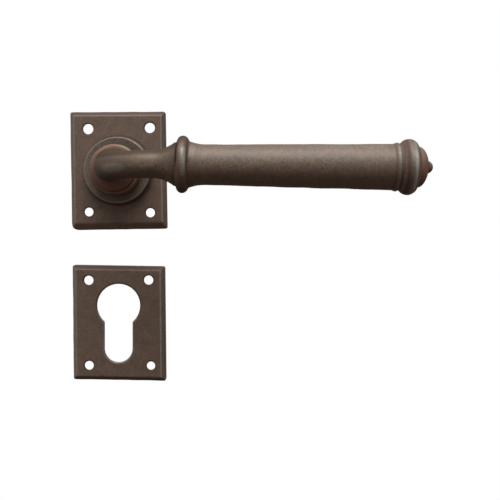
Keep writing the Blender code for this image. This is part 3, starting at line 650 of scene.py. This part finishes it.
def lever_wear_and_highlight(distance, along, angle):
    """What hands rub: the grip's outer side, the beads' crests, the bend and the palm's place.
    It also holds painted highlights on the grip's top edge towards its end and on the boss
    ring's upper right, and painted fill light on the bend's lower outer side.
    """
    outer, upper = np.cos(angle), np.sin(angle)
    held_and_top_highlight = ramp(along, 33.5, 38.0) * ramp(-along, -108.0, -104.0) * ramp(outer, -0.2, 0.5)
    # Painted highlight: the grip's top edge made lighter towards its end, where the light catches it.
    towards_end = 0.25 * ramp(along, 55.0, 90.0) * ramp(upper, 0.5, 0.9)
    held_and_top_highlight *= 0.27 + 0.12 * bump_at(upper, 0.1, 0.3) + towards_end
    flare = 0.6 * bump_at(along, 34.7, 1.7) * ramp(outer, 0.2, 0.7) * ramp(upper, -0.3, 0.2)
    front = ramp(along, 30.1, 32.0) * ramp(-along, -33.0, -32.5)
    front *= ramp(outer, 0.72, 0.88) * ramp(upper, -0.7, -0.05)
    front *= 0.7 + 0.6 * ramp(-upper, -0.6, -0.25)
    small = 0.95 * bump_at(along, SMALL_BEAD[0] + 0.3, 0.3) * ramp(outer, 0.1, 0.7)
    end = 0.75 * ramp(along, 112.3, 113.4) + 0.45 * ramp(along, 113.2, 114.2)
    end *= ramp(-along, -115.2, -114.9)
    end *= (0.45 + 0.55 * ramp(outer, -0.1, 0.7)) * (1.0 - 0.6 * ramp(upper, 0.35, 0.65))
    end += 0.9 * bump_at(along, 114.4, 0.4) * ramp(outer, 0.3, 0.7)
    ball = 0.2 * bump_at(along, 120.8, 1.5)
    # Painted glint: a bright line on the boss ring's upper right edge.
    ring = bump_at(distance, 15.7, 0.6) * ramp(upper - outer, 0.8, 1.35)
    thumb = bump_at(distance, 48.0, 6.5) * ramp(outer, 0.0, 0.4)
    thumb *= bump_at(np.sin(angle + math.radians(15.0)), 0.0, 0.42)
    # Partly wear, partly painted fill light: the bend's and neck's outer side, just below the middle,
    # made lighter.
    palm_rub_and_fill_light = 0.42 * bump_at(upper, -0.25, 0.5) * ramp(distance, 30.0, 52.0)
    palm_rub_and_fill_light *= ramp(-along, -27.6, -26.0)
    palm_rub_and_fill_light *= ramp(outer, 0.2, 0.7)
    wear_and_highlight = np.zeros(len(distance))
    for mask in (held_and_top_highlight, flare, front, small, end, ball, palm_rub_and_fill_light, 0.9 * ring, 0.95 * thumb):
        wear_and_highlight = np.maximum(wear_and_highlight, mask)
    return wear_and_highlight


def lever_recess_and_shade(distance, along, angle, turn):
    """What is dark: hollows of the outline, the grooves by the beads and the patina on the neck's top,
    with painted shade on the bend's outer side and under the neck, and the shank inside the collar
    fully dark.
    """
    outer, upper = np.cos(angle), np.sin(angle)
    recess_and_shade = ramp(-turn, 0.15, 0.8)
    eased = 0.8 * bump_at(along, 116.2, 0.7) + 0.5 * bump_at(along, 110.2, 0.7)
    eased = np.maximum(eased, 0.7 * bump_at(distance, 17.2, 1.5) * ramp(outer, 0.0, 0.5))
    recess_and_shade *= 1.0 - eased
    bead_ends = (1.0 - ramp(outer, 0.35, 0.88)) * bump_at(along, FRONT_BEAD[0], 2.2)
    fillet = bump_at(along, FILLET_BEAD[0], 0.8) * (0.3 + 0.5 * ramp(upper, -0.3, 0.4))
    grooves = np.maximum(1.3 * bump_at(along, 29.2, 0.55), 0.9 * bump_at(along, 32.95, 0.4))
    grooves = np.maximum(grooves, bump_at(along, 27.7, 0.4))
    grooves = np.minimum(grooves, 1.0) * (1.0 - 0.5 * ramp(-upper, -0.1, 0.4))
    flank = bump_at(along, 111.6, 0.65) * ramp(outer, -0.2, 0.4)
    # Painted shade: the bend's outer side, turned from the light, made darker.
    outside = 0.55 * (bump_at(distance, 29.0, 10.0) * ramp(outer, 0.2, 0.8) * ramp(upper, -0.5, -0.1))
    crown = 0.6 * (bump_at(distance, 38.0, 12.0) * ramp(upper, 0.0, 0.35))
    # Painted shade under the neck and the bend.
    below = ramp(distance, 22.0, 30.0) * ramp(-distance, -62.0, -42.0) * ramp(-upper, 0.52, 0.95)
    gap = 0.6 * (bump_at(along, 110.7, 0.8) * ramp(upper, 0.3, 0.8))
    for mask in (0.9 * bead_ends, fillet, grooves, flank, outside, crown, 0.85 * below, gap):
        recess_and_shade = np.maximum(recess_and_shade, mask)
    # The shank inside the collar is made fully dark.
    return np.clip(recess_and_shade + (1.0 - ramp(distance, 10.0, 11.5)), 0.0, 1.0)


def lever_rust(distance, along, angle):
    """Redder brown: from the boss's ring to the bend, on the dome and by the front bead."""
    outer, upper = np.cos(angle), np.sin(angle)
    rust = ramp(distance, 14.2, 15.6) * ramp(-distance, -36.0, -21.0)
    rust *= 1.0 - 0.35 * ramp(outer, 0.3, 0.9)
    dome = (0.5 + 0.4 * ramp(-upper, -0.2, 0.4)) * ramp(along, 115.2, 116.0)
    rust = np.maximum(rust, dome)
    for groove in (29.4, 33.1):
        rust = np.maximum(rust, 0.5 * bump_at(along, groove, 0.4))
    return rust


def lever_oiled(distance, angle):
    """The smooth dark skin on the bend's upper side and the neck."""
    upper = np.sin(angle)
    shoulder = ramp(upper + 0.4 * bump_at(distance, 29.0, 9.0), 0.35, 0.8)
    neck = 0.25 * ramp(distance, 20.0, 28.0) + 0.25 * bump_at(distance, 34.0, 8.0)
    return np.maximum(shoulder, neck) * (ramp(distance, 16.8, 18.0) * ramp(-distance, -80.0, -64.0))


def make_lever():
    """The lever's casting: loft, socket, painted layers and cuts."""
    line, turn, start = lever_stations()
    skin, distance, angle = lever_skin(line, start)
    middle = np.array([[0.0, SOCKET_END, 0.0]])
    tip = lever_place(line[-1:, 0], np.zeros(1), np.zeros(1))
    tip[:, 2] += END_LIFT - DROOP * (tip[:, 0] - BEND_RADIUS)
    points = np.concatenate([middle, socket_rings(), skin, tip])
    faces = ring_faces(SOCKET_ROWS + len(line))

    along = distance - start
    wear_and_highlight = lever_wear_and_highlight(distance, along, angle)
    recess_and_shade = lever_recess_and_shade(distance, along, angle, np.repeat(turn, LEVER_SIDES))
    rust = lever_rust(distance, along, angle)
    oiled = lever_oiled(distance, angle)
    hidden = np.zeros(1 + SOCKET_ROWS * LEVER_SIDES)
    layers = {
        "wear_and_highlight": np.concatenate([hidden, wear_and_highlight, [0.3]]),
        "recess_and_shade": np.concatenate([hidden + 0.5, recess_and_shade, [0.0]]),
        "rust": np.concatenate([hidden, rust, [0.5]]),
        "oiled": np.concatenate([hidden, oiled, [0.0]]),
    }
    piece = make_piece("lever_casting", points, faces, layers, "lever_arm", ["lever"])
    cut_lever(piece)
    return piece


def cutter(name, work):
    """Object made from a finished bmesh, to cut with."""
    mesh = bpy.data.meshes.new(name)
    work.to_mesh(mesh)
    work.free()
    thing = bpy.data.objects.new(name, mesh)
    bpy.context.scene.collection.objects.link(thing)
    return thing


def cut_lever(piece):
    """Grub-screw hole under the boss, and the notch that takes the spring's leg."""
    hole = bmesh.new()
    bmesh.ops.create_cone(
        hole,
        cap_ends=True,
        segments=48,
        radius1=GRUB_HOLE * MM,
        radius2=GRUB_HOLE * MM,
        depth=GRUB_HOLE_LENGTH * MM,
    )
    bmesh.ops.rotate(hole, matrix=Matrix.Rotation(GRUB_HOLE_TURN, 3, "Z"), verts=hole.verts)
    bmesh.ops.translate(hole, vec=Vector((0.0, GRUB_Y, GRUB_HOLE_MIDDLE)) * MM, verts=hole.verts)
    notch = bmesh.new()
    low, high = Vector(NOTCH[0]) * MM, Vector(NOTCH[1]) * MM
    bmesh.ops.create_cube(notch, size=1.0)
    bmesh.ops.scale(notch, vec=high - low, verts=notch.verts)
    bmesh.ops.translate(notch, vec=(low + high) / 2.0, verts=notch.verts)
    tools = [cutter("grub_hole_cutter", hole), cutter("notch_cutter", notch)]
    for tool in tools:
        cut = piece.modifiers.new(tool.name, "BOOLEAN")
        cut.operation = "DIFFERENCE"
        cut.solver = "EXACT"
        cut.object = tool
    bpy.context.view_layer.update()
    graph = bpy.context.evaluated_depsgraph_get()
    mesh = bpy.data.meshes.new_from_object(piece.evaluated_get(graph))
    piece.modifiers.clear()
    piece.data = mesh
    for tool in tools:
        bpy.data.objects.remove(tool, do_unlink=True)
    mesh.set_sharp_from_angle(angle=math.radians(55.0))


# ---------------------------------------------------------------- finishes


class Finish:
    """A node material under construction, its texture space in millimetres."""

    def __init__(self, name):
        self.material = bpy.data.materials.new(name)
        self.material.use_nodes = True
        self.tree = self.material.node_tree
        self.shader = self.tree.nodes["Principled BSDF"]
        place = self.tree.nodes.new("ShaderNodeTexCoord")
        scale = self.tree.nodes.new("ShaderNodeVectorMath")
        scale.operation = "SCALE"
        scale.inputs["Scale"].default_value = 1000.0
        self.tree.links.new(place.outputs["Object"], scale.inputs[0])
        self.space = scale.outputs[0]

    def put(self, socket, value):
        """Links a socket to a node's output, or sets it to a constant."""
        if isinstance(value, bpy.types.NodeSocket):
            self.tree.links.new(value, socket)
        else:
            socket.default_value = value

    def set(self, **values):
        """Inputs of the shader by name, a space written as an underscore."""
        for name, value in values.items():
            self.put(self.shader.inputs[name.replace("_", " ")], value)

    def stretched(self, factors):
        """The texture space scaled by a factor on each axis."""
        node = self.tree.nodes.new("ShaderNodeVectorMath")
        node.operation = "MULTIPLY"
        self.put(node.inputs[0], self.space)
        node.inputs[1].default_value = factors
        return node.outputs[0]

    def noise(self, scale, detail=4.0, roughness=0.5, distortion=0.0, space=None):
        """A noise from about 0 to 1, its scale per millimetre."""
        node = self.tree.nodes.new("ShaderNodeTexNoise")
        self.put(node.inputs["Vector"], space or self.space)
        node.inputs["Scale"].default_value = scale
        node.inputs["Detail"].default_value = detail
        node.inputs["Roughness"].default_value = roughness
        node.inputs["Distortion"].default_value = distortion
        return node.outputs["Fac"]

    def layer(self, name):
        """One of the castings' painted layers."""
        node = self.tree.nodes.new("ShaderNodeAttribute")
        node.attribute_name = name
        return node.outputs["Fac"]

    def math(self, operation, a, b=0.0, c=0.0):
        """One step of arithmetic on values or sockets."""
        node = self.tree.nodes.new("ShaderNodeMath")
        node.operation = operation
        for socket, value in zip(node.inputs, (a, b, c)):
            self.put(socket, value)
        return node.outputs[0]

    def remap(self, value, low, high, start=0.0, end=1.0):
        """A smooth step between two levels."""
        node = self.tree.nodes.new("ShaderNodeMapRange")
        node.interpolation_type = "SMOOTHSTEP"
        for name, given in (
            ("Value", value),
            ("From Min", low),
            ("From Max", high),
            ("To Min", start),
            ("To Max", end),
        ):
            self.put(node.inputs[name], given)
        return node.outputs["Result"]

    def mix(self, fac, a, b):
        """Colour a turning into colour b."""
        node = self.tree.nodes.new("ShaderNodeMix")
        node.data_type = "RGBA"
        self.put(node.inputs["Factor"], fac)
        colours = [s for s in node.inputs if s.type == "RGBA"]
        for socket, value in zip(colours, (a, b)):
            self.put(socket, (*value, 1.0) if isinstance(value, tuple) else value)
        return [s for s in node.outputs if s.type == "RGBA"][0]

    def bump(self, height, distance, strength=1.0):
        """Relief on the shader's normal, that many millimetres deep."""
        node = self.tree.nodes.new("ShaderNodeBump")
        node.inputs["Distance"].default_value = distance * MM
        node.inputs["Strength"].default_value = strength
        self.put(node.inputs["Height"], height)
        self.put(self.shader.inputs["Normal"], node.outputs["Normal"])


def patina():
    """Old iron under a brown rust patina: grey where it is rubbed or a highlight is painted, near black
    in the corners and where shade is painted.
    """
    f = Finish("cast_iron_patina")
    clouds = f.noise(0.34, 5.0, 0.65, 0.5)
    blotches = f.noise(0.8, 5.0, 0.65, 0.6)
    grain = f.noise(1.8, 5.0, 0.65)
    speckle = f.noise(5.0, 3.0, 0.6)
    wear_and_highlight, recess_and_shade, rust, oiled = (f.layer(name) for name in ("wear_and_highlight", "recess_and_shade", "rust", "oiled"))

    brown = f.mix(f.remap(clouds, 0.36, 0.64), (0.104, 0.073, 0.052), (0.144, 0.086, 0.061))
    brown = f.mix(f.remap(blotches, 0.36, 0.54, 0.6, 0.0), brown, (0.074, 0.049, 0.036))
    brown = f.mix(f.math("MULTIPLY", rust, 0.9), brown, (0.220, 0.106, 0.070))
    brown = f.mix(f.math("MULTIPLY", rust, -0.9), brown, (0.086, 0.077, 0.063))
    brown = f.mix(f.remap(grain, 0.46, 0.70, 0.0, 0.65), brown, (0.190, 0.136, 0.106))
    brown = f.mix(f.remap(speckle, 0.58, 0.75, 0.0, 0.6), brown, (0.050, 0.031, 0.024))
    dark = f.mix(blotches, (0.036, 0.008, 0.007), (0.056, 0.018, 0.014))
    oily = f.mix(f.remap(grain, 0.35, 0.65), (0.069, 0.045, 0.025), (0.096, 0.066, 0.039))
    brown = f.mix(f.math("MULTIPLY", oiled, 0.9), brown, oily)
    # Dark patina of the hollows and painted shade, mixed in the same dark brown.
    brown = f.mix(f.math("MULTIPLY", recess_and_shade, 0.85), brown, dark)

    broken = f.math("ADD", f.math("MULTIPLY", f.math("SUBTRACT", blotches, 0.5), 0.6), wear_and_highlight)
    broken = f.math("ADD", f.math("MULTIPLY", f.math("SUBTRACT", grain, 0.5), 0.7), broken)
    rubbed = f.remap(broken, 0.25, 0.95)
    rubbed = f.math("MULTIPLY", rubbed, f.remap(wear_and_highlight, 0.0, 0.25))
    metal = f.mix(grain, (0.21, 0.196, 0.170), (0.30, 0.288, 0.243))
    colour = f.mix(f.math("MULTIPLY", rubbed, 0.8), brown, metal)
    # Bright bare metal where the wear runs highest, which the painted glints reach too.
    polished = f.remap(broken, 1.0, 1.9)
    colour = f.mix(polished, colour, (0.58, 0.57, 0.55))

    roughness = f.remap(grain, 0.3, 0.7, 0.50, 0.62)
    roughness = f.math("SUBTRACT", roughness, f.math("MULTIPLY", rubbed, 0.10))
    roughness = f.math("MULTIPLY_ADD", f.math("MAXIMUM", recess_and_shade, rust), 0.22, roughness)
    metallic = f.math("MULTIPLY_ADD", rubbed, 0.40, 0.05)
    metallic = f.math("MAXIMUM", metallic, f.math("MULTIPLY", oiled, 0.8))
    metallic = f.math("MAXIMUM", metallic, f.math("MULTIPLY", polished, 0.85))
    metallic = f.math("MAXIMUM", metallic, f.remap(recess_and_shade, PLATE_DARKEST, 1.0, 0.0, 0.9))
    f.set(Base_Color=colour, Roughness=roughness, Metallic=metallic, IOR=1.65)

    height = f.math("MULTIPLY_ADD", grain, 0.55, f.math("MULTIPLY", blotches, 0.8))
    height = f.math("MULTIPLY_ADD", speckle, 0.25, height)
    f.bump(height, 0.07, 0.6)
    return f.material


def bronze():
    """Sintered bearing bronze, oil-stained, with fine turning rings."""
    f = Finish("bearing_bronze")
    stains = f.noise(0.45, 4.0, 0.6, 0.5)
    grain = f.noise(7.0, 3.0, 0.6)
    base = f.mix(f.remap(stains, 0.35, 0.7), (0.52, 0.33, 0.15), (0.36, 0.21, 0.095))
    base = f.mix(f.remap(grain, 0.58, 0.72, 0.0, 0.6), base, (0.16, 0.10, 0.055))
    f.set(Base_Color=base, Metallic=1.0, Roughness=f.remap(stains, 0.3, 0.7, 0.34, 0.5))
    rings = f.noise(9.0, 2.0, 0.5, 0.0, f.stretched((0.2, 1.0, 0.2)))
    f.bump(f.math("MULTIPLY_ADD", grain, 0.5, rings), 0.02, 0.5)
    return f.material


def zinc_steel():
    """Pressed steel with a dull zinc plating, clouded and scuffed."""
    f = Finish("zinc_plated_steel")
    clouds = f.noise(0.35, 4.0, 0.55, 0.8)
    scuffs = f.noise(3.0, 4.0, 0.7, 0.0, f.stretched((1.0, 0.6, 0.12)))
    base = f.mix(f.remap(clouds, 0.35, 0.65), (0.56, 0.57, 0.57), (0.47, 0.46, 0.42))
    base = f.mix(f.remap(scuffs, 0.58, 0.75, 0.0, 0.6), base, (0.70, 0.70, 0.69))
    base = f.mix(f.remap(f.noise(1.1, 5.0, 0.7), 0.62, 0.75, 0.0, 0.7), base, (0.24, 0.22, 0.19))
    f.set(Base_Color=base, Metallic=0.95, Roughness=f.remap(clouds, 0.3, 0.7, 0.34, 0.48))
    f.bump(f.math("MULTIPLY_ADD", scuffs, 0.6, clouds), 0.03, 0.5)
    return f.material


def bright_steel():
    """Drawn steel with lengthwise die lines, a little oily and dulled."""
    f = Finish("drawn_steel")
    lines = f.noise(6.0, 4.0, 0.7, 0.0, f.stretched((1.0, 0.03, 1.0)))
    stains = f.noise(0.3, 5.0, 0.6, 0.6)
    base = f.mix(f.remap(stains, 0.3, 0.7), (0.50, 0.49, 0.47), (0.38, 0.36, 0.335))
    base = f.mix(f.remap(lines, 0.55, 0.75, 0.0, 0.5), base, (0.62, 0.615, 0.60))
    base = f.mix(f.remap(f.noise(0.9, 5.0, 0.75), 0.62, 0.74, 0.0, 0.6), base, (0.20, 0.13, 0.085))
    f.set(Base_Color=base, Metallic=1.0, Roughness=f.remap(stains, 0.3, 0.7, 0.28, 0.42))
    f.bump(lines, 0.02, 0.5)
    return f.material


def spring_steel():
    """Oil-blackened spring steel, bright where it rubs."""
    f = Finish("blackened_spring_steel")
    patches = f.noise(0.8, 4.0, 0.6, 0.4)
    marks = f.noise(4.0, 3.0, 0.6)
    base = f.mix(f.remap(patches, 0.35, 0.7), (0.075, 0.076, 0.082), (0.13, 0.125, 0.12))
    base = f.mix(f.remap(marks, 0.62, 0.76, 0.0, 0.6), base, (0.34, 0.33, 0.32))
    f.set(Base_Color=base, Metallic=0.9, Roughness=f.remap(patches, 0.3, 0.7, 0.30, 0.45))
    f.bump(marks, 0.015, 0.5)
    return f.material


def nylon():
    """Natural nylon, slightly yellowed, with a fine moulded grain and grease stains."""
    f = Finish("moulded_nylon")
    stains = f.noise(0.3, 4.0, 0.6, 0.5)
    grain = f.noise(5.0, 3.0, 0.6)
    base = f.mix(f.remap(stains, 0.4, 0.7), (0.70, 0.68, 0.61), (0.52, 0.47, 0.38))
    f.set(Base_Color=base, Metallic=0.0, Roughness=f.remap(grain, 0.3, 0.7, 0.42, 0.56))
    f.bump(grain, 0.02, 0.4)
    return f.material


def make_return_spring(steel):
    """The CAD's coil made rounder, and blended across the joint.
    """
    work = bmesh.new()
    work.from_mesh(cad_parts["return_spring"].data)
    bmesh.ops.remove_doubles(work, verts=work.verts, dist=0.001 * MM)
    mesh = bpy.data.meshes.new("torsion_spring")
    work.to_mesh(mesh)
    work.free()
    mesh.shade_smooth()
    mesh.materials.append(steel)
    spring = bpy.data.objects.new("torsion_spring", mesh)
    bpy.context.scene.collection.objects.link(spring)
    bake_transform(spring)
    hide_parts("return_spring")
    rounder = spring.modifiers.new("rounder", "SUBSURF")
    rounder.levels = 1
    rounder.render_levels = 1


def finish_hardware(steel):
    """The working parts keep their CAD shape: a finish each, and eased edges on all but the
    wave washer.
    """
    cover_screws = [f"cover_screw_{i}" for i in range(1, 5)]
    finishes = {
        "bronze": (bronze(), ["collar_bush", "rear_bush"]),
        "pressed_steel": (zinc_steel(), ["spring_housing"] + cover_screws),
        "steel": (
            bright_steel(),
            ["spindle", "grub_screw", "stop_cam", "rest_stop_pin", "travel_stop_pin", "thrust_washer"],
        ),
        "spring_steel": (steel, ["wave_washer", "retaining_ring"]),
        "nylon": (nylon(), ["spring_seat"]),
    }
    for slot, (material, names) in finishes.items():
        for name in names:
            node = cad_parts[name]
            node.data.materials.clear()
            node.data.materials.append(material)
            if name != "wave_washer":
                ease = node.modifiers.new("eased_edges", "BEVEL")
                ease.width = EDGE_EASE * MM
                ease.segments = 2
                ease.limit_method = "ANGLE"
                ease.angle_limit = math.radians(35.0)
                ease.harden_normals = True


# ---------------------------------------------------------------- floor, light and camera


def make_floor():
    """Pale round floor below, its edge fading out."""
    work = bmesh.new()
    bmesh.ops.create_circle(work, cap_ends=True, segments=96, radius=FLOOR_RADIUS)
    mesh = bpy.data.meshes.new("floor")
    work.to_mesh(mesh)
    work.free()
    floor = bpy.data.objects.new("floor", mesh)
    bpy.context.scene.collection.objects.link(floor)
    floor.location = FLOOR_PLACE
    f = Finish("floor_paint")
    distance = f.tree.nodes.new("ShaderNodeVectorMath")
    distance.operation = "LENGTH"
    f.put(distance.inputs[0], f.space)
    fade = f.remap(distance.outputs["Value"], *FLOOR_FADE, 1.0, 0.0)
    f.set(Base_Color=(0.86, 0.86, 0.85, 1.0), Roughness=0.7, Alpha=fade)
    mesh.materials.append(f.material)
    floor.visible_diffuse = False
    floor.visible_glossy = False


def make_light():
    """Soft overhead studio light: a world that is bright above and dim below, and a panel."""
    world = bpy.data.worlds.new("studio")
    bpy.context.scene.world = world
    world.use_nodes = True
    tree = world.node_tree
    tree.nodes.clear()

    def math_node(operation, a, b=0.0, c=0.0):
        node = tree.nodes.new("ShaderNodeMath")
        node.operation = operation
        for socket, value in zip(node.inputs, (a, b, c)):
            if isinstance(value, bpy.types.NodeSocket):
                tree.links.new(value, socket)
            else:
                socket.default_value = value
        return node.outputs[0]

    place = tree.nodes.new("ShaderNodeTexCoord")
    split = tree.nodes.new("ShaderNodeSeparateXYZ")
    tree.links.new(place.outputs["Generated"], split.inputs[0])
    climb = tree.nodes.new("ShaderNodeMapRange")
    climb.interpolation_type = "SMOOTHSTEP"
    tree.links.new(split.outputs["Z"], climb.inputs["Value"])
    for name, value in (("From Min", -0.6), ("From Max", 0.95), ("To Min", 0.12), ("To Max", 0.60)):
        climb.inputs[name].default_value = value
    tint = tree.nodes.new("ShaderNodeMix")
    tint.data_type = "RGBA"
    colours = [socket for socket in tint.inputs if socket.type == "RGBA"]
    colours[0].default_value = GROUND_TINT
    colours[1].default_value = SKY_TINT
    warm = math_node("MULTIPLY_ADD", split.outputs["Z"], 0.8, 0.6)
    tree.links.new(warm, tint.inputs["Factor"])
    across = math_node("MULTIPLY_ADD", split.outputs["X"], -0.1, -0.2)
    sides = math_node("MULTIPLY_ADD", split.outputs["X"], across, 1.0)
    level = math_node("MULTIPLY", climb.outputs["Result"], sides)
    glow = tree.nodes.new("ShaderNodeBackground")
    tinted = [socket for socket in tint.outputs if socket.type == "RGBA"][0]
    tree.links.new(tinted, glow.inputs["Color"])
    tree.links.new(level, glow.inputs["Strength"])
    white = tree.nodes.new("ShaderNodeBackground")
    white.inputs["Color"].default_value = (1.0, 1.0, 1.0, 1.0)
    path = tree.nodes.new("ShaderNodeLightPath")
    mix = tree.nodes.new("ShaderNodeMixShader")
    tree.links.new(path.outputs["Is Camera Ray"], mix.inputs[0])
    tree.links.new(glow.outputs[0], mix.inputs[1])
    tree.links.new(white.outputs[0], mix.inputs[2])
    output = tree.nodes.new("ShaderNodeOutputWorld")
    tree.links.new(mix.outputs[0], output.inputs["Surface"])

    panel = bpy.data.lights.new("overhead_panel", "AREA")
    panel.shape = "RECTANGLE"
    panel.size, panel.size_y = PANEL_SIZE
    panel.energy = PANEL_POWER
    panel.color = PANEL_TINT
    lamp = bpy.data.objects.new("overhead_panel", panel)
    bpy.context.scene.collection.objects.link(lamp)
    lamp.location = PANEL_PLACE
    aim = Vector(PANEL_AIM) - lamp.location
    lamp.rotation_euler = aim.to_track_quat("-Z", "Y").to_euler()


def make_camera():
    """Level view from just right of the rose, the picture's centre dropped by a small shift."""
    data = bpy.data.cameras.new("camera")
    data.sensor_width = 36.0
    data.lens = CAMERA_LENS
    data.shift_x, data.shift_y = CAMERA_SHIFT
    data.clip_start = 0.01
    camera = bpy.data.objects.new("camera", data)
    bpy.context.scene.collection.objects.link(camera)
    camera.location = CAMERA_PLACE
    camera.rotation_euler = (math.pi / 2.0, 0.0, 0.0)
    bpy.context.scene.camera = camera


castings = [make_rose(), make_key(), make_lever()]
iron = patina()
for casting in castings:
    casting.data.materials.clear()
    casting.data.materials.append(iron)
blackened = spring_steel()
make_return_spring(blackened)
finish_hardware(blackened)
make_floor()
make_light()
make_camera()
bpy.context.scene.view_settings.view_transform = "Standard"
